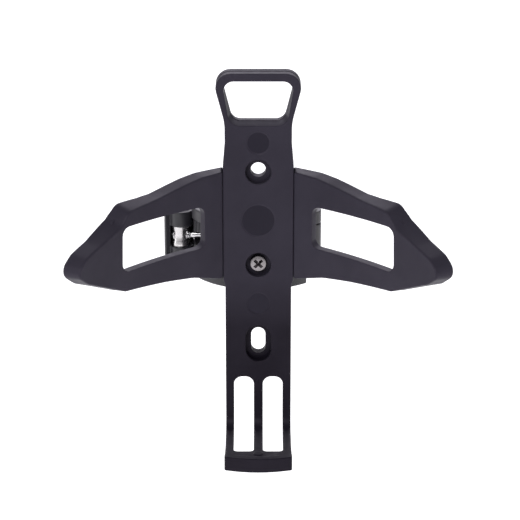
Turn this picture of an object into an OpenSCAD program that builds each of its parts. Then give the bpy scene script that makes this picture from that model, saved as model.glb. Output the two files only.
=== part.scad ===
// Bottle cage with two spring arms, on a swivelling quick-release clamp for a round tube.
// X runs across the cage, Y from the bottle towards the tube, Z up.
// The origin is on the tube's axis, level with the swivel screw.

/* [Cage] */
// Depth of the moulded spine from front to back
spine_t = 7; // [6.5:0.5:8]
// Half the width of the spine between the arms
spine_half_w = 12.3; // [11.8:0.1:12.5]
// Height of the loop's top above the swivel screw
loop_top_z = 69.4; // [67:0.1:72]
// Height of the shelf that the bottle stands on
shelf_z = -62; // [-66:0.5:-60]
// How far the shelf's lip stands in front of the spine
shelf_reach = 30.5; // [24:0.5:32]
// Distance between the two frame bolts
bolt_spacing = 64; // [64]

/* [Arms] */
// Radius of the arm's inner face, seen from above
arm_r = 154.6; // [140:0.2:170]
// Angle of the arm at its root to the spine's face
arm_root_deg = 31.7; // [28:0.1:36]
// Depth of the arm's rim
arm_rim_t = 7; // [6:0.5:7.5]
// Thickness of the arm's face
arm_skin_t = 3.4; // [3:0.1:4]
// Gap along the seam between spine and arm
seam_gap = 0.25; // [0.1:0.05:0.4]

/* [Clamp] */
// Diameter of the tube that the clamp closes on
tube_d = 31.8; // [30:0.1:32]
// Distance from the tube's axis to the back of the spine
standoff = 41; // [41:0.5:44]
// Thickness of the rubber pads
pad_t = 1.5; // [1.4:0.1:2.2]
// Height of the jaw and the pads along the tube
jaw_h = 19.4; // [18:0.2:19.4]
// Height of the cradle
cradle_h = 26; // [24:0.5:27]

/* [Fasteners] */
// Nominal radius of the swivel screw
swivel_r = 1.5; // [1.5]
// Nominal radius of the draw bolt
draw_r = 2; // [2]
// Radius of the hinge pin
pin_r = 1.6; // [1.5:0.1:1.8]
// Radius of the lever's barrel
barrel_r = 3.1; // [3:0.05:3.15]
// Radial clearance of the turning fits
running = 0.05; // [0.03:0.01:0.08]

/* [Hidden] */
$fn = 72;
over = 1;                                // how far cutters pass through a face

back_y = -standoff;                      // back of the spine
front_y = back_y - spine_t;              // face of the spine
upper_bolt_z = 34.2;
slot_z = upper_bolt_z - bolt_spacing;
frame_bolt_r = 2.65;
bore_seat_r = 4.5;                       // counterbore for a bolt head
bore_seat_deep = 3.2;
seat_y = front_y + bore_seat_deep;       // floor of the counterbores

tube_r = tube_d / 2;
seat_r = tube_r + pad_t;                 // bore of the cradle and the jaw
jaw_wall = 4;
hinge = [18.9, -16];                     // jaw hinge, seen from above
knuckle_r = 4;
leaf_gap = 0.2;                          // between the hinge leaves
leaf_z = 4.7;                            // half the height of the jaw's own leaf
leaf_back_y = hinge[1] + 5.2;            // the jaw is cut back to its leaf up to here
bolt_y = hinge[1];                       // the draw bolt points at the hinge
barrel_at = [-28.4, bolt_y];
barrel_half_h = jaw_h / 2;
prong_in_r = 38.2;                       // jaw prongs, measured from the hinge
prong_out_r = 41.4;
plate_out_r = 42.5;                      // cam plate, measured from the hinge
prong_front_y = -21.5;
bolt_slot_half = 2.5;
cradle_y = -12.7;                        // centre of the cradle's round front
cradle_r = 26;
cradle_back_y = -11.5;
cradle_left_r = 37.9;                    // measured from the hinge
cradle_right_x = 17.3;
flange_t = 4.5;                          // top and bottom flanges reach round to the left
flange_back_y = -22.5;
hinge_recess_x = hinge[0] - knuckle_r - 0.5;
washer_r = 11;
washer_t = 1.2;
boss_y = back_y + washer_t;
nut_floor_y = -28.4;
lock_washer_r = 2.75;
lock_washer_t = 0.8;
nut_y = nut_floor_y + lock_washer_t;
nut_t = 2.4;
nut_corner_r = 3.18;                     // M3 nut, 5.5 mm across flats
bolt_head_x = -15.5;
bolt_head_t = 2.8;
bolt_head_corner_r = 4.04;               // M4 head, 7 mm across flats
bolt_pocket_x = bolt_head_x - 0.8;       // floor of the draw bolt's counterbore
bolt_tip_x = -31.4;
cam_lift = 0.4;                          // offset of the lobe's centre
cam_gap = 0.2;
lobe_r = hinge[0] - plate_out_r - cam_gap - cam_lift - barrel_at[0];
lobe_z = 3.9;                            // inner height of the lever's fork
web_r = 5.9;                             // the web that joins the lever's lobes
web_inner_r = 3.8;

// ---- outlines ----

function unit(v) = v / norm(v);

// Points of the arc that rounds corner b = [x, y, radius] between its neighbours a and c.
function corner(a, b, c, steps) =
    b[2] == 0 ? [[b[0], b[1]]] :
    let (at = [b[0], b[1]],
         u = unit([a[0], a[1]] - at),
         v = unit([c[0], c[1]] - at),
         half = acos(u * v) / 2,
         centre = at + unit(u + v) * b[2] / sin(half),
         first = at + u * b[2] / tan(half) - centre,
         last = at + v * b[2] / tan(half) - centre,
         start = atan2(first[1], first[0]),
         turn = atan2(cross(first, last), first * last))
    [for (i = [0 : steps])
        centre + b[2] * [cos(start + turn * i / steps), sin(start + turn * i / steps)]];

function rounded(path, steps = 6) =
    let (n = len(path))
    [for (i = [0 : n - 1]) each corner(path[(i + n - 1) % n], path[i], path[(i + 1) % n], steps)];

// A closed path from its right half, bottom to top.
function both_sides(half) =
    concat(half, [for (i = [len(half) - 1 : -1 : 0]) [-half[i][0], half[i][1], half[i][2]]]);

// ---- shared shapes ----

// A front view (x, z) drawn from y0 back to y1.
module front_view(y0, y1)
    translate([0, y1, 0]) rotate([90, 0, 0]) linear_extrude(y1 - y0) children();

// A plan view (x, y) of the given height, centred on z = 0.
module plan(h) linear_extrude(h, center = true) children();

module along_y(r, y0, y1, z = 0) translate([0, y1, z]) rotate([90, 0, 0]) cylinder(r = r, h = y1 - y0);
module along_x(r, x0, x1) translate([x0, bolt_y, 0]) rotate([0, 90, 0]) cylinder(r = r, h = x1 - x0);
module upright(at, r, z0, z1) translate([at[0], at[1], z0]) cylinder(r = r, h = z1 - z0);

// An upright slot, long between its round ends' centres.
module slot_hole(r, long, y0, y1, z) {
    for (end = [-1, 1]) along_y(r, y0, y1, z + end * long / 2);
    translate([-r, y0, z - long / 2]) cube([2 * r, y1 - y0, long]);
}

// ---- cage ----

lower_half_w = 11.6;
outline_half = [[lower_half_w, -50, 0], [lower_half_w, -8, 2], [spine_half_w, -5.5, 2],
                [spine_half_w, 36, 6], [11.6, 44, 6], [11.6, loop_top_z - 17.5, 20],
                [16.2, loop_top_z, 5.7]];
loop_half = [[8.9, loop_top_z - 17.4, 3], [12.6, loop_top_z - 2.9, 3.2]];
shelf_t = 4;
lip_y = front_y - shelf_reach;
lip_rise = 1.2;
shelf_side = [[front_y, -45, 0], [front_y, shelf_z, 4.5], [lip_y + 4.4, shelf_z, 0.8],
              [lip_y + 3.6, shelf_z + lip_rise, 0.5], [lip_y, shelf_z + lip_rise, 0.8],
              [lip_y + 0.4, shelf_z - shelf_t, 1], [back_y, shelf_z - shelf_t, 10], [back_y, -45, 0]];
rib_half_w = 1.6;
slot_outer_x = 8.75;
slot_top_z = -42.7;
slot_front_y = lip_y + 9.4;
dimples = [[44.8, 3.8], [16.5, 5.65], [-14.5, 3.8]];     // [height, radius]
dimple_deep = 0.3;
pockets = [[13, 27.5], [41, 48.5], [-20.5, -13]];        // [lowest, highest] z of the back pockets
pocket_deep = 3.4;

module shelf_slots()
    for (side = [-1, 1])
        front_view(slot_front_y, back_y + over)
            polygon(rounded([[side * rib_half_w, slot_top_z, 3], [side * slot_outer_x, slot_top_z, 3],
                             [side * slot_outer_x, -80, 0], [side * rib_half_w, -80, 0]]));

module back_pockets()
    for (band = pockets)
        for (side = [-1, 1])
            front_view(back_y - pocket_deep, back_y + over)
                polygon(rounded([[side * 0.9, band[0], 1], [side * 9.6, band[0], 1],
                                 [side * 9.6, band[1], 1], [side * 0.9, band[1], 1]], 3));

module spine() color([0.18, 0.17, 0.2]) difference() {
    union() {
        front_view(front_y, back_y) polygon(rounded(both_sides(outline_half)));
        rotate([90, 0, 90]) linear_extrude(2 * lower_half_w, center = true) polygon(rounded(shelf_side));
        translate([0, slot_front_y - 2.6, shelf_z]) cylinder(r = 1.9, h = 0.8);
    }
    front_view(front_y - over, back_y + over) polygon(rounded(both_sides(loop_half)));
    shelf_slots();
    back_pockets();
    for (d = dimples) along_y(d[1], front_y - over, front_y + dimple_deep, d[0]);
    along_y(swivel_r + running, front_y - over, back_y + over);
    along_y(bore_seat_r, front_y - over, seat_y);
    along_y(frame_bolt_r, front_y - over, back_y + over, upper_bolt_z);
    along_y(bore_seat_r, front_y - over, seat_y, upper_bolt_z);
    slot_hole(2.55, 4.4, front_y - over, back_y + over, slot_z);
    slot_hole(bore_seat_r, 5.4, front_y - over, seat_y, slot_z);
}

// ---- arms ----
// An arm's outlines are drawn on its curved inner face: s runs along the curve from the root, z is up.

root = [spine_half_w + seam_gap, front_y];
arm_axis = root - arm_r * [sin(arm_root_deg), cos(arm_root_deg)];
mid_s = 33;
function turned(s) = s / arm_r * 180 / PI;
mid_deg = arm_root_deg + turned(mid_s);
// Distance along the chord, so that a straight cut through the curve follows the drawn outline.
function chord(s) = arm_r * (sin(turned(s - mid_s)) + sin(turned(mid_s)));
function on_chord(path) = [for (p = path) [chord(p[0]), p[1]]];

face_line = [[-8, 34.5, 0], [8.4, 33.6, 6], [26, 29.9, 30], [39.8, 28.1, 4], [43.4, 23.6, 7],
             [61, 17.2, 4], [66.5, 13, 2.6], [60, 8.2, 4], [42.2, 0.9, 3], [24, -0.5, 20],
             [12, -1.8, 20], [0, -5, 3], [-8, -8, 0]];
rim_line = [[-8, 34.9, 0], [0, 34.4, 5], [13, 33.4, 8], [28.5, 29.9, 10], [43, 30.1, 2.5],
            [46.4, 24.6, 4], [52, 21.6, 20], [61.5, 18.3, 4], [67.5, 13, 2.8], [61, 6.9, 4],
            [42.6, -0.3, 3], [24, -1.3, 20], [12, -2.5, 20], [0, -6, 3], [-8, -9, 0]];
hollow_line = [[-8, 30.5, 0], [7, 30.3, 4], [14.5, 28.2, 10], [40, 24.4, 3], [45.3, 19.6, 3], [59, 14.6, 2],
               [59.6, 12, 1.5], [44, 4.6, 3], [36, 3.6, 10], [14, 2.4, 10], [0, -1, 0], [-8, -3, 0]];
window_line = [[7.3, 7.9, 2.5], [7.3, 23.4, 3], [43.1, 23.6, 3], [43.6, 7.2, 3.2]];

module arm_cut(path)
    translate([root[0], root[1], 0]) rotate([0, 0, -mid_deg]) rotate([90, 0, 0])
        linear_extrude(70, center = true) polygon(on_chord(rounded(path)));

// The layer of the arm between two depths behind its inner face.
module arm_layer(from, to)
    translate([arm_axis[0], arm_axis[1], 0]) rotate([0, 0, 25])
        rotate_extrude(angle = 45, $fn = 180)
            translate([arm_r + from, -15]) square([to - from, 55]);

module arm() difference() {
    union() {
        intersection() {
            arm_layer(0, arm_skin_t);
            arm_cut(face_line);
        }
        intersection() {
            arm_layer(arm_skin_t / 2, arm_rim_t);
            difference() {
                arm_cut(rim_line);
                arm_cut(hollow_line);
            }
        }
    }
    arm_cut(window_line);
    translate([root[0] - 40, front_y - 20, -50]) cube([40, 60, 100]);
}

module right_arm() color([0.18, 0.17, 0.2]) arm();
module left_arm() color([0.18, 0.17, 0.2]) mirror([1, 0, 0]) arm();

// ---- swivel ----

screw_head_r = 2.95;
screw_head_t = 2.1;
screw_l = 20;
head_y = seat_y - screw_head_t;

module swivel_screw() color("silver") difference() {
    union() {
        along_y(screw_head_r, head_y, seat_y);
        along_y(swivel_r, head_y + 1, seat_y + screw_l);
    }
    for (turn = [0, 90])
        translate([0, head_y, 0]) rotate([0, 45 + turn, 0]) cube([3.4, 2.6, 0.6], center = true);
}

module friction_washer() color([0.25, 0.25, 0.27]) difference() {
    along_y(washer_r, back_y, boss_y);
    along_y(swivel_r + 0.1, back_y - over, boss_y + over);
}

module lock_washer() color("silver") difference() {
    along_y(lock_washer_r, nut_floor_y, nut_y);
    along_y(swivel_r + 0.1, nut_floor_y - over, nut_y + over);
    translate([0.5, nut_floor_y - over, -0.25]) cube([5, 3, 0.5]);
}

module captive_nut() color("silver") difference() {
    translate([0, nut_y + nut_t, 0]) rotate([90, 0, 0]) cylinder(r = nut_corner_r, h = nut_t, $fn = 6);
    along_y(swivel_r + 0.02, nut_y - over, nut_y + nut_t + over);
}

// ---- fixed half of the clamp ----

module cradle_outline() intersection() {
    translate([0, cradle_y]) circle(r = cradle_r);
    translate([-30, -50]) square([30 + cradle_right_x, 50 + cradle_back_y]);
}

module cradle_plan() intersection() {
    cradle_outline();
    translate(hinge) circle(r = cradle_left_r, $fn = 144);
}

module flange_plan() intersection() {
    cradle_outline();
    translate([-30, -50]) square([30, 50 + flange_back_y]);
}

// One of the cradle's two hinge leaves.
module cradle_leaf(side)
    translate([0, 0, side * (jaw_h / 2 + leaf_z + leaf_gap) / 2])
        plan(jaw_h / 2 - leaf_z - leaf_gap) {
            translate(hinge) circle(r = knuckle_r);
            translate([hinge_recess_x - 1, hinge[1] - knuckle_r])
                square([hinge[0] - hinge_recess_x + 1, knuckle_r + 2.5]);
        }

module cradle() color([0.1, 0.1, 0.11]) difference() {
    union() {
        difference() {
            plan(cradle_h) cradle_plan();
            translate([hinge_recess_x, hinge[1] - 5.2, -20]) cube([30, 30, 40]);
        }
        for (side = [-1, 1])
            translate([0, 0, side * (cradle_h - flange_t) / 2]) plan(flange_t) flange_plan();
        along_y(washer_r, boss_y, boss_y + 7.8);
        for (side = [-1, 1]) cradle_leaf(side);
    }
    upright([0, 0], seat_r, -20, 20);
    along_y(swivel_r + 0.1, boss_y - over, nut_floor_y + over);
    translate([0, nut_floor_y + 30, 0]) rotate([90, 0, 0]) cylinder(r = nut_corner_r + 0.12, h = 30, $fn = 6);
    along_x(draw_r + 0.1, -30, 0);
    along_x(bolt_head_corner_r + 0.16, bolt_pocket_x, 30);
    upright(hinge, pin_r + 0.02, -20, 20);
}

// Half of a rubber sleeve in the clamp's bore, inside the given wedge.
module pad(wedge) plan(jaw_h) intersection() {
    difference() {
        circle(r = seat_r - 0.02, $fn = 144);
        circle(r = tube_r, $fn = 144);
    }
    polygon(wedge);
}

module front_pad() color([0.13, 0.13, 0.14]) pad([[0, 0], [-30, -28.5], [30, -28.5]]);

// ---- draw bolt and lever ----

module draw_bolt() color("silver") {
    along_x(draw_r, bolt_tip_x, bolt_head_x + 0.1);
    translate([bolt_head_x, bolt_y, 0]) rotate([0, 90, 0])
        cylinder(r = bolt_head_corner_r, h = bolt_head_t, $fn = 6);
}

module bolt_washer() color("silver") difference() {
    along_x(bolt_head_corner_r, bolt_pocket_x, bolt_head_x);
    along_x(draw_r + running, bolt_pocket_x - over, bolt_head_x + over);
}

// Half of the barrel's outline, from its middle up.
barrel_side = [[barrel_r - 0.35, 2], [barrel_r, 3.7], [barrel_r, barrel_half_h - 0.3],
               [barrel_r - 0.3, barrel_half_h], [0, barrel_half_h]];

module barrel() color("silver") difference() {
    translate([barrel_at[0], barrel_at[1], 0]) rotate_extrude()
        polygon(concat([for (i = [4 : -1 : 0]) [barrel_side[i][0], -barrel_side[i][1]]], barrel_side));
    along_x(draw_r + running, -40, -20);
}

handle_plan = [[-34.2, -15.5, 1], [-34, -3, 14], [-27.2, 15.5, 2], [-22.6, 12.8, 2], [-26.6, 0, 10],
               [-23.6, -11.4, 0.4]];
handle_side = [[-30, -barrel_half_h, 0], [-6, -barrel_half_h, 20], [18, -6.4, 5],
               [18, 6.4, 5], [-6, barrel_half_h, 20], [-30, barrel_half_h, 0]];

module cam_lever() color([0.1, 0.1, 0.11]) difference() {
    union() {
        for (side = [-1, 1])
            translate([0, 0, side * (barrel_half_h + lobe_z) / 2])
                plan(barrel_half_h - lobe_z) translate(barrel_at + [cam_lift, 0]) circle(r = lobe_r);
        plan(jaw_h) intersection() {
            translate(barrel_at) circle(r = web_r);
            translate(barrel_at) polygon([[0, 0], [0, 20], [-20, 20], [-20, -9]]);
        }
        plan(jaw_h) intersection() {
            translate(barrel_at) circle(r = lobe_r + cam_lift);
            translate(barrel_at) polygon([[0, 0], [20, 12.5], [20, 20], [0, 20]]);
        }
        intersection() {
            plan(jaw_h) polygon(rounded(handle_plan));
            rotate([90, 0, 90]) linear_extrude(80, center = true) polygon(rounded(handle_side));
        }
    }
    upright(barrel_at, barrel_r + running, -20, 20);
    upright(barrel_at, web_inner_r, -lobe_z, lobe_z);
}

// ---- swinging half of the clamp ----

// Part of a ring about the hinge, on the side of the lever.
module hinge_ring(h, r0, r1, y0, y1) plan(h) intersection() {
    difference() {
        translate(hinge) circle(r = r1, $fn = 144);
        translate(hinge) circle(r = r0, $fn = 144);
    }
    translate([-30, y0]) square([15, y1 - y0]);
}

// The slot that lets the jaw swing off the draw bolt.
module bolt_slot() translate([-30, -30, -bolt_slot_half]) cube([14, 30 + bolt_y + 2.4, 2 * bolt_slot_half]);

module rear_jaw() color([0.1, 0.1, 0.11]) difference() {
    union() {
        difference() {
            plan(jaw_h) circle(r = seat_r + jaw_wall, $fn = 144);
            translate([-30, -50, -20]) cube([60, 43.3, 40]);
        }
        plan(jaw_h) polygon([[hinge[0] - knuckle_r, hinge[1]], [15.4, -6], [15.4, 0],
                             [seat_r + jaw_wall - 0.2, 0], [hinge[0] + knuckle_r, hinge[1]]]);
        plan(jaw_h) translate(hinge) circle(r = knuckle_r);
        hinge_ring(jaw_h, prong_in_r, prong_out_r, prong_front_y, -4);
    }
    plan(2 * jaw_h) circle(r = seat_r, $fn = 144);
    upright(hinge, pin_r + running, -20, 20);
    for (side = [-1, 1])
        translate([10, -30, side * (leaf_z + 10) - 10]) cube([20, 30 + leaf_back_y, 20]);
    bolt_slot();
}

module cam_plate() color([0.1, 0.1, 0.11]) difference() {
    hinge_ring(jaw_h - 0.4, prong_out_r + 0.02, plate_out_r, bolt_y - 4.5, bolt_y + 4.5);
    bolt_slot();
}

module rear_pad() color([0.13, 0.13, 0.14])
    pad([[0, 0], [30, 0], [30, 30], [-30, 30], [-30, -4], [-14, -4]]);

module hinge_pin() color("silver") {
    upright(hinge, pin_r, -jaw_h / 2 - 1.2, jaw_h / 2 + 0.1);
    upright(hinge, 2.6, jaw_h / 2, jaw_h / 2 + 0.9);
}

module pin_clip() color("silver") difference() {
    upright(hinge, 2.6, -jaw_h / 2 - 0.8, -jaw_h / 2 - 0.1);
    upright(hinge, pin_r + 0.02, -20, 20);
    translate([hinge[0] + 0.4, hinge[1] - 0.9, -20]) cube([5, 1.8, 20]);
}

spine();
left_arm();
right_arm();
swivel_screw();
friction_washer();
cradle();
lock_washer();
captive_nut();
front_pad();
draw_bolt();
bolt_washer();
barrel();
cam_plate();
rear_jaw();
rear_pad();
hinge_pin();
pin_clip();
cam_lever();
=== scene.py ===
"""A quick-release bottle cage: detailed pieces, materials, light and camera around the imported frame.

Lengths in this script are millimetres until a mesh is made, where they become metres.
X runs across the cage, Y from the bottle towards the tube, Z up, as in the frame.
"""

import math

import bmesh
import bpy
import numpy as np
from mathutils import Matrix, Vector
from mathutils.geometry import delaunay_2d_cdt


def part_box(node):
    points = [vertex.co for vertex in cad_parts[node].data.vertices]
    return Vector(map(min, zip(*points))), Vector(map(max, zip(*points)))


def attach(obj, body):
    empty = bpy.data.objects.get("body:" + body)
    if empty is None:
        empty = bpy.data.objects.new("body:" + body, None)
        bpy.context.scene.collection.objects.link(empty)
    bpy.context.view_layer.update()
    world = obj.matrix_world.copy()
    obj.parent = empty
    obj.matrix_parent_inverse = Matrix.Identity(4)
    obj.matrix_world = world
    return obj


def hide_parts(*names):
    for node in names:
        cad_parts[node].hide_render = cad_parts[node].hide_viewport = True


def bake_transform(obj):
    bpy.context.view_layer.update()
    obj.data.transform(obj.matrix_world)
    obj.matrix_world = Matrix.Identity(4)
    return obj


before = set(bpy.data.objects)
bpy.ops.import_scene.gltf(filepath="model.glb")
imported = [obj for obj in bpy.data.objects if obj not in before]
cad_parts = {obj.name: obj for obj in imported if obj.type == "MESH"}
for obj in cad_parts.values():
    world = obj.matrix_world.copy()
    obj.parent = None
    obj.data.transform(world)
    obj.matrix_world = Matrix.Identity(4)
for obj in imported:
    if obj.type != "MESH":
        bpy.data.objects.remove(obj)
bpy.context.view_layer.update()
MM = 0.001


def box_mm(node):
    """The lowest and highest corner of a CAD node, in millimetres."""
    low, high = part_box(node)
    return np.array(low) / MM, np.array(high) / MM


# ---------------------------------------------------------------- outlines


def unit(v):
    return v / np.linalg.norm(v)


def rounded(path, steps=8):
    """A closed outline from corners (x, y, radius), each radius drawn as an arc."""
    points = []
    for i, (x, y, radius) in enumerate(path):
        at = np.array([x, y], float)
        if radius == 0:
            points.append(at)
            continue
        u = unit(np.array(path[i - 1][:2]) - at)
        v = unit(np.array(path[(i + 1) % len(path)][:2]) - at)
        half = math.acos(u @ v) / 2
        centre = at + unit(u + v) * radius / math.sin(half)
        first = at + u * radius / math.tan(half) - centre
        last = at + v * radius / math.tan(half) - centre
        start = math.atan2(first[1], first[0])
        turn = math.atan2(first[0] * last[1] - first[1] * last[0], first @ last)
        for k in range(steps + 1):
            a = start + turn * k / steps
            points.append(centre + radius * np.array([math.cos(a), math.sin(a)]))
    return np.array(points)


def circle(radius, x=0.0, y=0.0, steps=64):
    a = np.linspace(0, 2 * math.pi, steps, endpoint=False)
    return np.stack([x + radius * np.cos(a), y + radius * np.sin(a)], 1)


def area(loop):
    x, y = loop[:, 0], loop[:, 1]
    return 0.5 * float(np.sum(x * np.roll(y, -1) - y * np.roll(x, -1)))


def outer(loop):
    """The loop turned so that the material lies on its left, as an outside edge."""
    return loop if area(loop) > 0 else loop[::-1].copy()


def hole(loop):
    """The loop turned so that the material lies on its left, as a hole's edge."""
    return outer(loop)[::-1].copy()


def both_sides(half):
    """A closed path of corners from its right half, bottom to top."""
    return half + [(-x, y, r) for x, y, r in reversed(half)]


def into_material(loop):
    """For each point, the step to its left that moves every side by one."""
    before = loop - np.roll(loop, 1, 0)
    after = np.roll(loop, -1, 0) - loop
    before /= np.linalg.norm(before, axis=1)[:, None]
    after /= np.linalg.norm(after, axis=1)[:, None]
    n1 = np.stack([-before[:, 1], before[:, 0]], 1)
    n2 = np.stack([-after[:, 1], after[:, 0]], 1)
    return (n1 + n2) / (1 + np.sum(n1 * n2, 1))[:, None]


def cut_at(loop, levels):
    """The loop with extra points where its sides cross the given heights."""
    points = []
    for p, q in zip(loop, np.roll(loop, -1, 0)):
        points.append(p)
        inside = [h for h in levels if min(p[1], q[1]) + 0.02 < h < max(p[1], q[1]) - 0.02]
        for h in sorted(inside, reverse=bool(q[1] < p[1])):
            points.append(p + (q - p) * (h - p[1]) / (q[1] - p[1]))
    return np.array(points)


def in_loops(point, loops):
    """True if the point is inside an odd number of the loops."""
    odd = False
    for loop in loops:
        x1, y1 = loop[:, 0], loop[:, 1]
        x2, y2 = np.roll(x1, -1), np.roll(y1, -1)
        spans = (y1 > point[1]) != (y2 > point[1])
        dy = np.where(y2 == y1, 1, y2 - y1)
        hits = spans & (point[0] < (x2 - x1) * (point[1] - y1) / dy + x1)
        odd ^= bool(np.count_nonzero(hits) % 2)
    return odd


def edge_round(radius, steps=4):
    """(inset, depth) pairs of a rounded edge, from the face to the wall."""
    turns = [math.pi / 2 * k / steps for k in range(steps + 1)]
    return [(radius * (1 - math.sin(a)), radius * (1 - math.cos(a))) for a in turns]


def other_face(pairs, depth):
    """The same edge at the far face."""
    return [(inset, depth - d) for inset, d in reversed(pairs)]


# ---------------------------------------------------------------- meshes


class Shell:
    """One closed mesh made of walls that follow outlines and of caps that fill between them.

    place(x, y, depth) puts a point of the drawing, at a depth behind its face, into the frame."""

    def __init__(self, place):
        self.place = place
        self.flat = []
        self.points = []
        self.faces = []
        self.marks = []

    def row(self, flat_points, depth):
        first = len(self.points)
        for x, y in flat_points:
            self.flat.append((float(x), float(y)))
            self.points.append(self.place(float(x), float(y), depth))
        return list(range(first, len(self.points)))

    def wall(self, loop, profile):
        """Rows along the loop at each (inset, depth); returns the first and the last row.

        An inset is one length, or one for each point of the loop."""
        side = into_material(loop)
        rows = [self.row(loop + side * np.reshape(inset, (-1, 1)), depth) for inset, depth in profile]
        for a, b in zip(rows, rows[1:]):
            for k in range(len(a)):
                after = (k + 1) % len(a)
                self.faces.append((a[k], a[after], b[after], b[k]))
                self.marks.append(0)
        return rows[0], rows[-1]

    def cap(self, rings, depth, extra=(), mark=0):
        """Fills between rings of existing points, using the extra loose points too."""
        known = [k for ring in rings for k in ring]
        loops = [np.array([self.flat[k] for k in ring]) for ring in rings]
        loose = [p for p in extra if in_loops(p, loops)]
        known += self.row(loose, depth)
        edges = []
        at = 0
        for ring in rings:
            n = len(ring)
            edges += [(at + k, at + (k + 1) % n) for k in range(n)]
            at += n
        flat = [Vector(self.flat[k]) for k in known]
        _, _, faces, sources, _, _ = delaunay_2d_cdt(flat, edges, [], 0, 1e-7)
        for face in faces:
            corners = [known[sources[v][0]] for v in face]
            centre = np.mean([self.flat[k] for k in corners], 0)
            if in_loops(centre, loops):
                self.faces.append(tuple(corners))
                self.marks.append(mark)

    def make(self, name):
        return mesh_object(name, self.points, self.faces, self.marks)


def mesh_object(name, points, faces, marks=None):
    """A mesh object from millimetre points, with its faces turned outward."""
    mesh = bpy.data.meshes.new(name)
    mesh.from_pydata([tuple(c * MM for c in p) for p in points], [], faces)
    if marks:
        mesh.polygons.foreach_set("material_index", marks)
    made = bmesh.new()
    made.from_mesh(mesh)
    bmesh.ops.remove_doubles(made, verts=made.verts, dist=1e-7)
    bmesh.ops.recalc_face_normals(made, faces=made.faces)
    made.to_mesh(mesh)
    made.free()
    obj = bpy.data.objects.new(name, mesh)
    bpy.context.scene.collection.objects.link(obj)
    return obj


def grid_faces(rows, columns, close_rows, close_columns):
    """Quads of a grid of points, row by row."""
    faces = []
    for i in range(rows if close_rows else rows - 1):
        for k in range(columns if close_columns else columns - 1):
            j, m = (i + 1) % rows, (k + 1) % columns
            faces.append((i * columns + k, i * columns + m, j * columns + m, j * columns + k))
    return faces


def turned(name, profile, place, steps=48):
    """A turned piece: (radius, along) pairs swept round an axis. Radius 0 closes an end."""
    points = []
    for radius, along in profile:
        for k in range(steps):
            a = 2 * math.pi * k / steps
            points.append(place(radius * math.cos(a), radius * math.sin(a), along))
    return mesh_object(name, points, grid_faces(len(profile), steps, False, True))


def smooth_shading(obj, sharp_deg=38.0):
    """Smooth shading that keeps flat faces flat and real corners sharp."""
    mesh = obj.data
    mesh.polygons.foreach_set("use_smooth", [True] * len(mesh.polygons))
    mesh.set_sharp_from_angle(angle=math.radians(sharp_deg))
    weighted = obj.modifiers.new("flat faces", "WEIGHTED_NORMAL")
    weighted.keep_sharp = True
    return obj


def applied(obj):
    """Replaces the object's mesh by its evaluated one, without modifiers."""
    graph = bpy.context.evaluated_depsgraph_get()
    made = bpy.data.meshes.new_from_object(obj.evaluated_get(graph))
    obj.modifiers.clear()
    obj.data = made
    return obj


def cut_out(obj, *cutters):
    """Takes the cutters' solids out of the object and removes them."""
    for cutter in cutters:
        mod = obj.modifiers.new("cut", "BOOLEAN")
        mod.operation = "DIFFERENCE"
        mod.solver = "EXACT"
        mod.object = cutter
    applied(obj)
    for cutter in cutters:
        bpy.data.objects.remove(cutter)
    return obj


def moulded(node, voxel=0.3, passes=5, ratio=0.5):
    """A moulded twin of a CAD node: the same shape with its edges softly rounded."""
    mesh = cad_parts[node].data.copy()
    made = bmesh.new()
    made.from_mesh(mesh)
    bmesh.ops.remove_doubles(made, verts=made.verts, dist=1e-6)
    made.to_mesh(mesh)
    made.free()
    obj = bpy.data.objects.new(node + "_moulded", mesh)
    bpy.context.scene.collection.objects.link(obj)
    remesh = obj.modifiers.new("skin", "REMESH")
    remesh.mode = "VOXEL"
    remesh.voxel_size = voxel * MM
    soften = obj.modifiers.new("soften", "SMOOTH")
    soften.factor = 0.5
    soften.iterations = passes
    thin = obj.modifiers.new("thin", "DECIMATE")
    thin.ratio = ratio
    applied(obj)
    obj.data.polygons.foreach_set("use_smooth", [True] * len(obj.data.polygons))
    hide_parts(node)
    return obj


# ---------------------------------------------------------------- materials


PAINTED_SHADE_DARKEST_BELOW, PAINTED_SHADE_FADED_ABOVE = -24, -4      # heights between which the cage's painted shade fades: darkest below, palest above


def new_material(name):
    material = bpy.data.materials.new(name)
    material.use_nodes = True
    tree = material.node_tree
    return material, tree, tree.nodes["Principled BSDF"]


def noise(tree, scale, detail=3.0, stretch=(1, 1, 1)):
    """Noise over the object's own coordinates; scale is in cycles per metre."""
    where = tree.nodes.new("ShaderNodeTexCoord")
    mapping = tree.nodes.new("ShaderNodeMapping")
    mapping.inputs["Scale"].default_value = stretch
    texture = tree.nodes.new("ShaderNodeTexNoise")
    texture.inputs["Scale"].default_value = scale
    texture.inputs["Detail"].default_value = detail
    tree.links.new(where.outputs["Object"], mapping.inputs["Vector"])
    tree.links.new(mapping.outputs["Vector"], texture.inputs["Vector"])
    return texture.outputs["Fac"]


def spread(tree, fac, low, high):
    """Maps a 0.3 to 0.7 noise value onto low to high."""
    node = tree.nodes.new("ShaderNodeMapRange")
    node.inputs["From Min"].default_value = 0.3
    node.inputs["From Max"].default_value = 0.7
    node.inputs["To Min"].default_value = low
    node.inputs["To Max"].default_value = high
    tree.links.new(fac, node.inputs["Value"])
    return node.outputs["Result"]


def mixed_colour(tree, fac, a, b):
    """Colour a where the factor is 0, b where it is 1."""
    node = tree.nodes.new("ShaderNodeMix")
    node.data_type = "RGBA"
    node.inputs["A"].default_value = (*a, 1)
    node.inputs["B"].default_value = (*b, 1)
    tree.links.new(fac, node.inputs["Factor"])
    return node.outputs["Result"]


def bump(tree, bsdf, height, strength, distance):
    """Relief from a height, distance being in millimetres."""
    node = tree.nodes.new("ShaderNodeBump")
    node.inputs["Strength"].default_value = strength
    node.inputs["Distance"].default_value = distance * MM
    tree.links.new(height, node.inputs["Height"])
    tree.links.new(node.outputs["Normal"], bsdf.inputs["Normal"])


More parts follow.
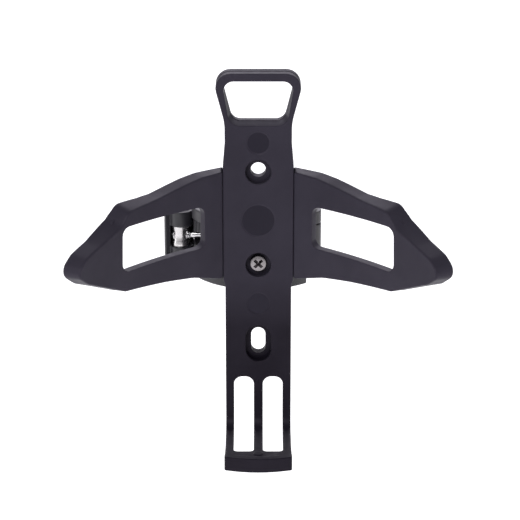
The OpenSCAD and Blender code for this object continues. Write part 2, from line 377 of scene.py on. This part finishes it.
def drifting_tone(tree):
    """A slow drift between a plastic's two colours, 0 to 1."""
    return spread(tree, noise(tree, 55, 4), 0, 1)


def painted_shade_tone(tree):
    """The cage's tone: painted shade that darkens it from its middle down to its foot, where the lower spine
    lies darker under the lights, paler higher up, with some random drift.
    """
    where = tree.nodes.new("ShaderNodeTexCoord")
    height = tree.nodes.new("ShaderNodeSeparateXYZ")
    tree.links.new(where.outputs["Object"], height.inputs["Vector"])
    # painted shade: the colour goes from dark round the foot to pale higher up, by height alone
    shade_by_height = tree.nodes.new("ShaderNodeMapRange")
    shade_by_height.inputs["From Min"].default_value = PAINTED_SHADE_DARKEST_BELOW * MM
    shade_by_height.inputs["From Max"].default_value = PAINTED_SHADE_FADED_ABOVE * MM
    shade_by_height.inputs["To Min"].default_value = 0.0
    shade_by_height.inputs["To Max"].default_value = 0.75
    tree.links.new(height.outputs["Z"], shade_by_height.inputs["Value"])
    drift = spread(tree, noise(tree, 55, 4), 0, 0.25)
    total = tree.nodes.new("ShaderNodeMath")
    total.operation = "ADD"
    tree.links.new(shade_by_height.outputs["Result"], total.inputs[0])
    tree.links.new(drift, total.inputs[1])
    return total.outputs["Value"]


def plastic(name, dark, light, rough, grain, grain_depth, specular=0.5, tone=drifting_tone, tint=(1, 1, 1)):
    """Moulded plastic: a spark-eroded grain, a tone between two colours and uneven gloss."""
    material, tree, bsdf = new_material(name)
    tree.links.new(mixed_colour(tree, tone(tree), dark, light), bsdf.inputs["Base Color"])
    gloss = spread(tree, noise(tree, 240, 3), rough - 0.05, rough + 0.05)
    tree.links.new(gloss, bsdf.inputs["Roughness"])
    bsdf.inputs["Specular IOR Level"].default_value = specular
    bsdf.inputs["Specular Tint"].default_value = (*tint, 1)
    bump(tree, bsdf, noise(tree, grain, 2), 0.5, grain_depth)
    return material


def metal(name, colour, rough, brush, brush_depth):
    """Plated or turned steel: fine lines along one direction and a few dull patches."""
    material, tree, bsdf = new_material(name)
    bsdf.inputs["Metallic"].default_value = 1
    dull = tuple(c * 0.82 for c in colour)
    tone = spread(tree, noise(tree, 300, 4), 0, 1)
    tree.links.new(mixed_colour(tree, tone, colour, dull), bsdf.inputs["Base Color"])
    lines = noise(tree, 900, 2, brush)
    tree.links.new(spread(tree, lines, rough * 0.7, rough * 1.3), bsdf.inputs["Roughness"])
    bump(tree, bsdf, lines, 0.3, brush_depth)
    return material


def rubber(name):
    """Matt black rubber with a fine grain."""
    material, tree, bsdf = new_material(name)
    tone = spread(tree, noise(tree, 150, 4), 0, 1)
    tree.links.new(mixed_colour(tree, tone, (0.012,) * 3, (0.022,) * 3), bsdf.inputs["Base Color"])
    tree.links.new(spread(tree, noise(tree, 500, 2), 0.62, 0.78), bsdf.inputs["Roughness"])
    bsdf.inputs["Specular IOR Level"].default_value = 0.35
    bump(tree, bsdf, noise(tree, 3500, 2), 0.5, 0.03)
    return material


# The cage's two colours are spread by painted shade, the dark one round its foot and the pale one higher up,
# plus a little random drift.
CAGE = plastic("cage plastic", (0.0040, 0.0030, 0.0064), (0.0262, 0.0236, 0.0345),
               0.46, 5200, 0.012, 0.13, painted_shade_tone, (0.95, 0.86, 1))
CAGE_SMOOTH = plastic("smooth disc", (0.0112, 0.0090, 0.0172), (0.0132, 0.0110, 0.0198),
                      0.4, 1800, 0.006, 0.13)
CLAMP = plastic("clamp plastic", (0.018, 0.017, 0.022), (0.026, 0.025, 0.031), 0.34, 700, 0.006, 0.4)
WASHER = plastic("washer plastic", (0.045, 0.045, 0.05), (0.06, 0.06, 0.066), 0.5, 2500, 0.01)
PLATED = metal("plated steel", (0.62, 0.61, 0.63), 0.16, (1, 1, 1), 0.001)
SCREW = metal("brushed screw steel", (0.28, 0.26, 0.27), 0.3, (1, 1, 1), 0.001)
TURNED = metal("turned steel", (0.66, 0.64, 0.65), 0.27, (0.2, 0.2, 6), 0.002)
RUBBER = rubber("pad rubber")


def finish_piece(obj, body, slot, *materials):
    """Gives a piece its materials and, unless it bends, the body it rides on. The slot argument is not used.
    """
    if len(obj.data.materials):
        obj.data.materials.clear()
    for material in materials:
        obj.data.materials.append(material)
    if body:
        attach(obj, body)
    return obj


# ---------------------------------------------------------------- spine

spine_low, spine_high = box_mm("spine")
BACK_Y = spine_high[1]
SPINE_T = 7.0
FACE_Y = BACK_Y - SPINE_T
LOOP_TOP = spine_high[2]
SHELF_T = 4.0
SHELF_Z = spine_low[2] + SHELF_T
BEND_R = 4.5
BEND_START = SHELF_Z + BEND_R
BEND_LONG = BEND_R * math.pi / 2
BEND_END = BEND_START - BEND_LONG
LIP_END = BEND_END - (FACE_Y - BEND_R - spine_low[1])      # along the unrolled spine
LIP_RISE = 1.2
LIP_BOW = 1.9
LIP_LONG = 4.0
HALF_W = 12.3
LOWER_HALF_W = 11.6
GROOVE = 0.5
UPPER_BOLT_Z = 34.2
SLOT_Z = UPPER_BOLT_Z - 64.0
SLOT_HALF = 2.4                            # straight part of the bolt slot, from its middle
BORE_R = 4.5                               # wide bore in front of each frame bolt
SCREW_BORE_R = 4.45
BORE_DEPTH = 3.2
RIB_HALF_W = 1.6                           # rib between the foot's two slots
FOOT_SLOT_X = 8.75
FOOT_SLOT_TOP = -42.7
FOOT_SLOT_FRONT = LIP_END + 9.4
DISCS = ((44.8, 3.8), (16.5, 5.65), (-14.5, 3.8))          # height and radius of the shallow discs
POCKETS = ((13, 27.5), (41, 48.5), (-20.5, -13))           # lowest and highest edge, on the back
POCKET_FLOOR = 3.6
KNOB_R = 1.7
KNOB_AT = LIP_END + 6.8


def ease(t):
    """A smooth step from 0 to 1."""
    t = min(1.0, max(0.0, t))
    return t * t * (3 - 2 * t)


def lip_rise(x, w):
    """How far the lip stands above the shelf, w being the height on the unrolled spine."""
    bow = LIP_BOW * (1 - (x / LOWER_HALF_W) ** 2)
    return LIP_RISE * ease((LIP_END + LIP_LONG + LIP_BOW - bow - w) / 1.2)


def on_spine(x, w, depth):
    """A point of the unrolled spine: straight down its face, round the bend and along the shelf."""
    share = depth / SPINE_T
    thick = SPINE_T + (SHELF_T - SPINE_T) * ease((BEND_START - w) / BEND_LONG)
    d = share * thick - lip_rise(x, w) * (1 - share)
    if w >= BEND_START:
        return x, FACE_Y + d, w
    if w >= BEND_END:
        a = (BEND_START - w) / BEND_R
        r = BEND_R + d
        return x, FACE_Y - BEND_R + r * math.cos(a), BEND_START - r * math.sin(a)
    return x, FACE_Y - BEND_R - (BEND_END - w), SHELF_Z - d


def stadium(radius, half, y, steps=24):
    """An upright slot with round ends, half being half its straight part."""
    a = np.linspace(0, math.pi, steps + 1)
    top = np.stack([radius * np.cos(a), y + half + radius * np.sin(a)], 1)
    bottom = np.stack([-radius * np.cos(a), y - half - radius * np.sin(a)], 1)
    return np.concatenate([top, bottom])


def spine():
    """The slotted spine: outline, loop, slots and bores run through it; discs and pockets are sunk in it."""
    shell = Shell(on_spine)
    levels = list(np.linspace(BEND_START, BEND_END, 13)) + [LIP_END + k for k in np.arange(2.4, 7.3, 0.6)]
    lip_front = [(0.0, LIP_END - 1.45, 36.0)]
    sides = both_sides([
        (LOWER_HALF_W + 0.25, LIP_END + LIP_BOW, 0.8), (LOWER_HALF_W, LIP_END + 14.0, 20.0),
        (LOWER_HALF_W, -8.0, 2.0), (HALF_W, -5.5, 2.0), (HALF_W, 36.0, 6.0), (11.6, 44.0, 6.0),
        (11.6, LOOP_TOP - 17.5, 20.0), (16.2, LOOP_TOP, 5.2)])
    outline = outer(cut_at(rounded(lip_front + sides), levels + [44.0, 45.0, 46.0, 47.0, 48.0]))
    soft = edge_round(0.45)
    around_loop = np.array([ease((w - 44.0) / 4.0) for _, w in outline])
    groove = [(0, 3.1), (GROOVE, 3.35), (GROOVE, 3.85), (0, 4.1)]
    outer_groove = [(inset * around_loop, depth) for inset, depth in groove]
    back = other_face(edge_round(0.35), SPINE_T)
    fronts, backs = [], []

    def through(loop, profile):
        first, last = shell.wall(loop, profile)
        fronts.append(first)
        backs.append(last)

    through(outline, soft + outer_groove + back)
    loop_hole = hole(rounded([(8.9, LOOP_TOP - 17.6, 3.6), (12.6, LOOP_TOP - 2.9, 3.2),
                              (-12.6, LOOP_TOP - 2.9, 3.2), (-8.9, LOOP_TOP - 17.6, 3.6)]))
    bevel = 0.2 + 0.85 * np.array([ease((LOOP_TOP - 6.0 - w) / 9.0) for _, w in loop_hole])
    slope = ((1, 0), (0.86, 0.12), (0.44, 1.6), (0.04, 3.0))
    bevelled = [(bevel * share, depth) for share, depth in slope]
    through(loop_hole, bevelled + groove + back)
    for side in (-1, 1):
        near, far = side * RIB_HALF_W, side * FOOT_SLOT_X
        slot = rounded([(near, FOOT_SLOT_TOP, 3.0), (far, FOOT_SLOT_TOP, 3.0),
                        (far, FOOT_SLOT_FRONT, 1.6), (near, FOOT_SLOT_FRONT, 1.6)])
        through(hole(cut_at(slot, levels)), edge_round(0.4) + back)
    for loop, step, flare in ((circle(BORE_R, 0, UPPER_BOLT_Z), -1.85, 0.3),
                              (stadium(BORE_R, SLOT_HALF, SLOT_Z), -1.95, 0.3),
                              (circle(SCREW_BORE_R), -2.85, 0)):
        seat = edge_round(0.25, 3) + [(0, BORE_DEPTH), (step, BORE_DEPTH)]
        seat += [(step, SPINE_T - flare), (step + flare, SPINE_T)] if flare else [(step, SPINE_T)]
        through(hole(loop), seat)

    disc = [(0.6, 0), (0.45, 0.05), (0.25, 0.16), (-0.05, 0.22)]
    for z, radius in DISCS:
        first, last = shell.wall(hole(circle(radius, 0, z)), disc)
        fronts.append(first)
        shell.cap([last], disc[-1][1], mark=1)
    pocket = [(0.3, SPINE_T), (0.05, SPINE_T - 0.25), (0, SPINE_T - 0.6),
              (-0.1, POCKET_FLOOR + 0.4), (-0.5, POCKET_FLOOR)]
    for low, high in POCKETS:
        for side in (-1, 1):
            loop = rounded([(side * 0.9, low, 1.2), (side * 9.6, low, 1.2),
                            (side * 9.6, high, 1.2), (side * 0.9, high, 1.2)], 5)
            first, last = shell.wall(hole(loop), pocket)
            backs.append(first)
            shell.cap([last], POCKET_FLOOR)
    knob = [(0.3, 0), (0.08, -0.15), (0, -0.4), (-0.15, -0.6), (-0.5, -0.7)]
    first, last = shell.wall(hole(circle(KNOB_R, 0, KNOB_AT, 32)), knob)
    fronts.append(first)
    shell.cap([last], knob[-1][1])
    lip_grid = [(x, LIP_END + k) for x in np.arange(-10.5, 10.6, 1.5) for k in np.arange(0.8, 6.5, 0.4)]
    shell.cap(fronts, 0, lip_grid)
    shell.cap(backs, SPINE_T)
    obj = smooth_shading(shell.make("spine_shell"))
    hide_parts("spine")
    return finish_piece(obj, "cage", "cage_plastic", CAGE, CAGE_SMOOTH)


# ---------------------------------------------------------------- arms

ARM_R = 154.6
ARM_ROOT_DEG = 31.7
SEAM_X = 12.34
SKIN_T = 3.4
# Corners of the arm's inner face: s along the curve from the seam, z, corner radius,
# how far the rim flares outward behind the corner, and how deep the rim is there.
ARM_CORNERS = [
    (0.0, -5.3, 0.8, 0.1, 5.4), (12.0, -2.3, 20.0, 0.6, 5.4), (24.0, -1.0, 20.0, 0.8, 5.6),
    (42.2, 0.4, 3.0, 0.9, 5.8), (60.0, 8.2, 5.0, 0.9, 6.6), (66.3, 13.0, 2.8, 0.8, 6.8),
    (61.0, 17.3, 4.0, 0.8, 6.8), (54.0, 19.8, 10.0, 0.8, 6.8), (43.4, 23.7, 6.0, 2.3, 6.8),
    (39.9, 28.2, 3.0, 1.6, 6.8), (30.6, 29.3, 20.0, 0.8, 6.3), (26.0, 30.0, 20.0, 0.5, 6.0),
    (14.0, 32.5, 10.0, 0.8, 5.6), (8.4, 33.6, 6.0, 0.6, 5.4), (0.0, 34.3, 0.8, 0.1, 5.4)]
ARM_WINDOW = [(7.3, 8.0, 2.6), (43.4, 7.3, 3.2), (42.9, 23.2, 3.0), (7.3, 23.0, 3.0)]
# Places on the rim and on the window that face each other.
ARM_FACING = [((0.0, -5.3), (7.3, 8.0)), ((42.2, 0.4), (43.4, 7.3)), ((66.3, 13.0), (43.2, 15.5)),
              ((43.0, 24.5), (42.9, 23.2)), ((0.0, 34.3), (7.3, 23.0))]
ARM_STATIONS = 230


def lengths(loop):
    """Distance along a closed loop at each point, with the whole length last."""
    steps = np.linalg.norm(np.roll(loop, -1, 0) - loop, axis=1)
    return np.concatenate([[0], np.cumsum(steps)])


def along(loop, places, values=None):
    """Points of the loop, or the values given at its points, at distances along it."""
    at = lengths(loop)
    values = loop if values is None else values
    closed = np.concatenate([values, values[:1]])
    places = np.mod(places, at[-1])
    return np.stack([np.interp(places, at, closed[:, c]) for c in range(closed.shape[1])], 1)


def nearest(loop, point):
    return float(lengths(loop)[np.argmin(np.linalg.norm(loop - np.array(point), axis=1))])


def arm_stations():
    """For each station round the arm: rim corner, outward step, flare, depth, window edge, its step."""
    steps = 8
    rim = rounded([c[:3] for c in ARM_CORNERS], steps)
    flare_depth = np.repeat(np.array([c[3:] for c in ARM_CORNERS]), steps + 1, 0)
    window = rounded(ARM_WINDOW, 12)
    rim_total, window_total = lengths(rim)[-1], lengths(window)[-1]
    rim_keys = np.array([nearest(rim, a) for a, _ in ARM_FACING])
    window_keys = np.array([nearest(window, b) for _, b in ARM_FACING])
    rim_keys = np.mod(rim_keys - rim_keys[0], rim_total)
    window_keys = np.mod(window_keys - window_keys[0], window_total)
    start = nearest(rim, ARM_FACING[0][0])
    window_start = nearest(window, ARM_FACING[0][1])
    places = np.linspace(0, rim_total, ARM_STATIONS, endpoint=False)
    partner = np.interp(places, np.append(rim_keys, rim_total), np.append(window_keys, window_total))
    points = along(rim, places + start)
    values = along(rim, places + start, flare_depth)
    edge = along(window, partner + window_start)
    outward = -smoothed(into_material(points))
    inward = smoothed(into_material(edge[::-1])[::-1])
    return points, outward, values[:, 0], values[:, 1], edge, inward


def smoothed(steps, passes=2):
    """Unit steps, evened out between neighbours."""
    for _ in range(passes):
        steps = (np.roll(steps, 1, 0) + 2 * steps + np.roll(steps, -1, 0)) / 4
    return steps / np.linalg.norm(steps, axis=1)[:, None]


def on_arm(s, z, depth, side):
    """A point of the arm's curved inner face, at a depth behind it.

    The wall at the root stands square to the spine."""
    s -= depth * math.tan(math.radians(ARM_ROOT_DEG)) * ease(1 - s / 8)
    a = math.radians(90 - ARM_ROOT_DEG) - s / ARM_R
    r = ARM_R + depth
    x = SEAM_X - ARM_R * math.sin(math.radians(ARM_ROOT_DEG)) + r * math.cos(a)
    y = FACE_Y - ARM_R * math.cos(math.radians(ARM_ROOT_DEG)) + r * math.sin(a)
    return side * x, y, z


def arm(name, node, side):
    """One arm: a thin skin with its window and a deeper rim round it, bending at the root."""
    points, outward, flare, depth, edge, inward = arm_stations()
    room = np.linalg.norm(points - edge, axis=1)
    lean = np.clip((room - 1.2) / 3.2, 0.3, 1)

    def from_rim(offset):
        return points + outward * np.reshape(offset, (-1, 1))

    def from_window(offset):
        return edge + inward * offset

    face_in, face_out = from_window(0.45), from_rim(-0.6)
    hollow = from_rim(flare - 3.0 * lean)
    back_in = from_window(0.5)
    rows = [(back_in, SKIN_T), (from_window(0.12), SKIN_T - 0.15), (from_window(0), SKIN_T - 0.6),
            (from_window(0), 0.45), (from_window(0.1), 0.12), (face_in, 0.0)]
    rows += [(face_in + (face_out - face_in) * t, 0.0) for t in (0.2, 0.4, 0.6, 0.8)]
    rows += [(face_out, 0.0), (from_rim(-0.25), 0.04), (from_rim(flare * 0.04), 0.3)]
    rows += [(from_rim(flare * t), depth * t) for t in (0.15, 0.5, 0.85)]
    rows += [(from_rim(flare), depth - 0.45), (from_rim(flare - 0.15), depth - 0.12),
             (from_rim(flare - 0.55), depth), (from_rim(flare - 1.9 * lean), depth),
             (from_rim(flare - 2.3 * lean), depth - 0.35), (from_rim(flare - 2.5 * lean), SKIN_T + 0.5),
             (hollow, SKIN_T)]
    rows += [(hollow + (back_in - hollow) * t, SKIN_T) for t in (0.33, 0.66)]
    shape = []
    for place, deep in rows:
        deep = np.broadcast_to(deep, (len(place),))
        shape += [on_arm(s, z, d, side) for (s, z), d in zip(place, deep)]
    obj = mesh_object(name, shape, grid_faces(len(rows), ARM_STATIONS, True, True))
    smooth_shading(obj, 50)
    applied(obj)
    finish_piece(obj, None, "cage_plastic", CAGE)
    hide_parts(node)
    reach = np.array(on_arm(18.0, 0, 0, side)) - np.array(on_arm(0.0, 0, 0, side))
    start = np.array(on_arm(0.5, 14, 0, side))
    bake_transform(obj)
    return obj


# ---------------------------------------------------------------- swivel screw


def swivel_screw():
    """A domed head with a cross recess, made of two crossed tapers and a wider one in the middle."""
    low, high = box_mm("swivel_screw")
    head_y, head_r = low[1], high[0]
    seat = head_y + 2.1
    profile = [(0, head_y), (1.2, head_y + 0.01), (2.2, head_y + 0.08), (2.7, head_y + 0.22),
               (2.88, head_y + 0.45), (head_r, head_y + 1.0), (head_r, seat - 0.15),
               (head_r - 0.12, seat), (1.5, seat),
               (1.5, high[1] - 0.4), (1.1, high[1]), (0, high[1])]
    obj = turned("swivel_screw_turned", profile, lambda a, b, c: (a, c, b))
    cutters = []
    for turn, arm_w, arm_l in ((45, 0.55, 2.0), (135, 0.55, 2.0), (0, 0.85, 0.85)):
        ring = []
        for y, share in ((head_y - 0.5, 1.2), (head_y + 1.9, 0.15)):
            for x, z in ((-arm_l, -arm_w), (arm_l, -arm_w), (arm_l, arm_w), (-arm_l, arm_w)):
                a = math.radians(turn)
                x, z = x * share, z * share
                ring.append((x * math.cos(a) - z * math.sin(a), y, x * math.sin(a) + z * math.cos(a)))
        faces = [(0, 1, 2, 3), (7, 6, 5, 4)] + [(k, (k + 1) % 4, (k + 1) % 4 + 4, k + 4) for k in range(4)]
        cutters.append(mesh_object("recess", ring, faces))
    cut_out(obj, *cutters)
    smooth_shading(obj, 35)
    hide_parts("swivel_screw")
    return finish_piece(obj, "clamp", "screw_steel", SCREW)


# ---------------------------------------------------------------- clamp

barrel_low, barrel_high = box_mm("barrel")
BOLT_Y = (barrel_low[1] + barrel_high[1]) / 2
BARREL_X = (barrel_low[0] + barrel_high[0]) / 2
CAP_R = 3.05
CAP_T = 0.55
SHANK_R = 1.95
BOLT_HEAD_T = 2.8
TUBE_R = 15.9
PAD_BACK_R = 17.38
PAD_RIBS = 9


def barrel():
    """The lever's polished pin, a little waisted where the draw bolt passes through."""
    half = barrel_high[2] - 0.6
    r = (barrel_high[0] - barrel_low[0]) / 2
    waist = [(r - 0.4 * math.cos(math.pi * k / 12) ** 2, 3.8 * k / 6) for k in range(7)]
    upper = waist + [(r, half - 0.5), (r - 0.15, half - 0.15), (r - 0.5, half), (1.4, half),
                     (1.2, half - 0.35), (0, half - 0.35)]
    profile = [(a, -z) for a, z in reversed(upper[1:])] + upper
    obj = turned("barrel_turned", profile, lambda a, b, c: (BARREL_X + a, BOLT_Y + b, c), 64)
    smooth_shading(obj, 40)
    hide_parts("barrel")
    return finish_piece(obj, "clamp", "barrel_steel", TURNED)


def knuckle_caps():
    """Discs in the lever's plastic that close its bore over the barrel's ends."""
    half = barrel_high[2]
    for name, side in (("cam_lever_top_cap", 1), ("cam_lever_bottom_cap", -1)):
        profile = [(0, half - CAP_T), (CAP_R, half - CAP_T), (CAP_R, half - 0.1),
                   (CAP_R - 0.1, half - 0.03), (0, half)]
        profile = [(r, side * z) for r, z in profile]
        obj = turned(name, profile, lambda a, b, c: (BARREL_X + a, BOLT_Y + b, c))
        finish_piece(smooth_shading(obj, 40), "lever", "clamp_plastic", CLAMP)


def thread_rows(start, end, core, crest, pitch, steps, per_turn=6):
    """Radii of a screw thread: for each place along the axis, one radius per direction."""
    count = int((end - start) / pitch * per_turn)
    for i in range(count + 1):
        x = start + (end - start) * i / count
        radii = []
        for k in range(steps):
            phase = (x / pitch + k / steps) % 1
            radii.append(core + (crest - core) * min(1, 2.6 * min(phase, 1 - phase)))
        yield x, radii


def draw_bolt():
    """Threaded through the barrel, then a polished cone up to the plain shank, and a hexagon head."""
    low, high = box_mm("draw_bolt")
    steps = 28
    head_x = high[0] - BOLT_HEAD_T
    thread_end = BARREL_X + 3.6
    rows = [(low[0], [0.0] * steps), (low[0], [1.5] * steps)]
    rows += list(thread_rows(low[0] + 0.3, thread_end, 1.62, 1.98, 0.7, steps))
    rows += [(thread_end + along, [radius] * steps)
             for along, radius in ((0.1, 1.3), (1.6, 1.35), (3.2, 1.6), (4.4, SHANK_R), (5.2, SHANK_R))]
    rows += [(head_x, [SHANK_R] * steps), (head_x, [0.0] * steps)]
    points = []
    for x, radii in rows:
        for k, r in enumerate(radii):
            a = 2 * math.pi * k / steps
            points.append((x, BOLT_Y + r * math.cos(a), r * math.sin(a)))
    shank = mesh_object("draw_bolt_threaded", points, grid_faces(len(rows), steps, False, True))
    smooth_shading(shank, 60)
    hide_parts("draw_bolt")
    finish_piece(shank, "clamp", "screw_steel", PLATED)
    shell = Shell(lambda x, y, d: (high[0] - d, BOLT_Y + x, y))
    hexagon = outer(circle(4.0, 0, 0, 6))
    first, last = shell.wall(hexagon, [(0.5, 0), (0, 0.35), (0, BOLT_HEAD_T - 0.3), (0.2, BOLT_HEAD_T)])
    shell.cap([first], 0)
    shell.cap([last], BOLT_HEAD_T)
    head = smooth_shading(shell.make("draw_bolt_head"), 30)
    finish_piece(head, "clamp", "screw_steel", PLATED)


def pad(name, node, body, start_deg, end_deg):
    """A rubber pad with grip ribs round the tube, wrapped between two directions."""
    half = box_mm(node)[1][2]
    inner = []
    for k in range(PAD_RIBS * 8 + 1):
        z = -half + 0.5 + (2 * half - 1.0) * k / (PAD_RIBS * 8)
        dent = 0.35 * (0.5 + 0.5 * math.cos(2 * math.pi * k / 8)) ** 3
        inner.append((TUBE_R + dent, z))
    ring = inner + [(TUBE_R + 0.5, half), (PAD_BACK_R - 0.15, half), (PAD_BACK_R, half - 0.15),
                    (PAD_BACK_R, -half + 0.15), (PAD_BACK_R - 0.15, -half), (TUBE_R + 0.5, -half)]
    turns = np.radians(np.linspace(start_deg, end_deg, 72))
    points = [(r * math.cos(a), r * math.sin(a), z) for a in turns for r, z in ring]
    faces = grid_faces(len(turns), len(ring), False, True)
    last = (len(turns) - 1) * len(ring)
    faces += [tuple(range(len(ring)))[::-1], tuple(last + k for k in range(len(ring)))]
    obj = smooth_shading(mesh_object(name, points, faces), 50)
    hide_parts(node)
    return finish_piece(obj, body, "pad_rubber", RUBBER)


def clamp():
    """Every piece of the clamp, and materials for the CAD nodes that are shown as they are."""
    barrel()
    knuckle_caps()
    draw_bolt()
    for node, body in (("cradle", "clamp"), ("rear_jaw", "jaw"), ("cam_lever", "lever")):
        finish_piece(moulded(node), body, "clamp_plastic", CLAMP)
    pad("front_pad_ribbed", "front_pad", "clamp", -135.5, -44.5)
    pad("rear_pad_ribbed", "rear_pad", "jaw", 1.5, 192.5)
    looks = {"friction_washer": WASHER, "lock_washer": PLATED, "captive_nut": PLATED, "bolt_washer": PLATED,
             "hinge_pin": TURNED, "pin_clip": PLATED, "cam_plate": CLAMP}
    for node, material in looks.items():
        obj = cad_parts[node]
        obj.data.materials.clear()
        obj.data.materials.append(material)


# ---------------------------------------------------------------- stage


LOOK_AT = (0.6, FACE_Y, 1.9)
LOOK_DOWN_DEG = 20.5
CAMERA_DISTANCE = 760.0
FLOOR_Z = -330
FLOOR_HALF = 4000


def camera():
    """Above and in front of the cage, looking down at it as in the photograph."""
    down = math.radians(LOOK_DOWN_DEG)
    view = np.array([0, math.cos(down), -math.sin(down)])
    data = bpy.data.cameras.new("camera")
    data.sensor_width = 36
    data.lens = 150
    data.clip_start = 0.05
    data.clip_end = 50
    obj = bpy.data.objects.new("camera", data)
    obj.location = (np.array(LOOK_AT) - view * CAMERA_DISTANCE) * MM
    obj.rotation_euler = (math.radians(90) - down, 0, 0)
    bpy.context.scene.collection.objects.link(obj)
    bpy.context.scene.camera = obj


def softbox(name, place, width, height, power, colour=(1.0, 1.0, 1.0)):
    """An area light that faces the cage."""
    data = bpy.data.lights.new(name, "AREA")
    data.shape = "RECTANGLE"
    data.size = width
    data.size_y = height
    data.energy = power
    data.color = colour
    obj = bpy.data.objects.new(name, data)
    obj.location = place
    towards = Vector((0, -0.05, 0)) - Vector(place)
    obj.rotation_euler = towards.to_track_quat("-Z", "Y").to_euler()
    bpy.context.scene.collection.objects.link(obj)


def stage():
    """A plain pale floor, an even white world and soft lights round the cage."""
    corners = [(x * FLOOR_HALF, y * FLOOR_HALF, FLOOR_Z) for x, y in ((-1, -1), (1, -1), (1, 1), (-1, 1))]
    floor = mesh_object("floor", corners, [(0, 1, 2, 3)])
    material, tree, bsdf = new_material("pale floor")
    tone = spread(tree, noise(tree, 3, 2), 0, 1)
    pale = mixed_colour(tree, tone, (0.93,) * 3, (0.95,) * 3)
    tree.links.new(pale, bsdf.inputs["Base Color"])
    bsdf.inputs["Roughness"].default_value = 0.9
    bsdf.inputs["Emission Color"].default_value = (1, 1, 1, 1)
    bsdf.inputs["Emission Strength"].default_value = 0.5
    floor.data.materials.append(material)
    world = bpy.data.worlds.new("studio")
    world.use_nodes = True
    world.node_tree.nodes["Background"].inputs["Color"].default_value = (1, 1, 1, 1)
    world.node_tree.nodes["Background"].inputs["Strength"].default_value = 0.38
    bpy.context.scene.world = world
    softbox("front", (-0.5, -1.3, 0.9), 0.9, 0.7, 15)
    softbox("left strip", (-1.2, -0.25, 0.3), 0.15, 1.2, 3)
    softbox("right strip", (1.2, -0.25, 0.3), 0.15, 1.2, 4)
    softbox("far", (0.0, 2.0, 1.3), 3.0, 1.6, 32, (1.0, 0.96, 1.08))
    bpy.context.scene.view_settings.view_transform = "Standard"


camera()
stage()
spine()
arm("right_arm_shell", "right_arm", 1)
arm("left_arm_shell", "left_arm", -1)
swivel_screw()
clamp()
